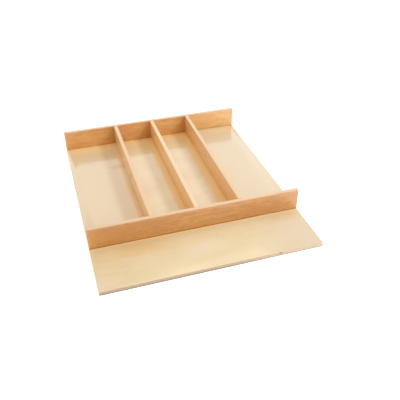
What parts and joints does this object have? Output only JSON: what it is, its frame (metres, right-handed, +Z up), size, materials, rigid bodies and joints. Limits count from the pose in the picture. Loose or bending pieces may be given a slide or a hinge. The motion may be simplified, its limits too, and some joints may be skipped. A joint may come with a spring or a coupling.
{
  "type": "drawer organizer insert",
  "caption": "Shallow maple drawer insert: a flat plywood base with a back rail, a front rail set back behind an open shelf, and parallel dividers between the rails that form long compartments.",
  "frame": {"origin": "middle of the base panel's underside, which lies on the drawer bottom", "axes": "+Z up out of the drawer, +Y towards the back of the drawer along the dividers, +X to the right seen from the front"},
  "size_m": [0.47, 0.559, 0.0603],
  "materials": {
    "panel_ply": "maple-faced plywood under clear satin lacquer, plies showing at the edges",
    "board_maple": "solid maple under clear satin lacquer, edges eased",
    "staple_steel": "galvanised steel wire, semi-matt"
  },
  "bodies": {
    "root": {"base_panel": "panel_ply", "back_rail": "board_maple", "front_rail": "board_maple", "divider_left": "board_maple", "divider_center": "board_maple", "divider_right": "board_maple", "back_rail_staple_1": "staple_steel", "back_rail_staple_2": "staple_steel", "back_rail_staple_3": "staple_steel", "back_rail_staple_4": "staple_steel", "back_rail_staple_5": "staple_steel", "back_rail_staple_6": "staple_steel", "front_rail_staple_1": "staple_steel", "front_rail_staple_2": "staple_steel", "front_rail_staple_3": "staple_steel", "front_rail_staple_4": "staple_steel", "front_rail_staple_5": "staple_steel", "front_rail_staple_6": "staple_steel", "divider_left_staple_1": "staple_steel", "divider_left_staple_2": "staple_steel", "divider_left_staple_3": "staple_steel", "divider_left_staple_4": "staple_steel", "divider_center_staple_1": "staple_steel", "divider_center_staple_2": "staple_steel", "divider_center_staple_3": "staple_steel", "divider_center_staple_4": "staple_steel", "divider_right_staple_1": "staple_steel", "divider_right_staple_2": "staple_steel", "divider_right_staple_3": "staple_steel", "divider_right_staple_4": "staple_steel"}
  },
  "joints": []
}
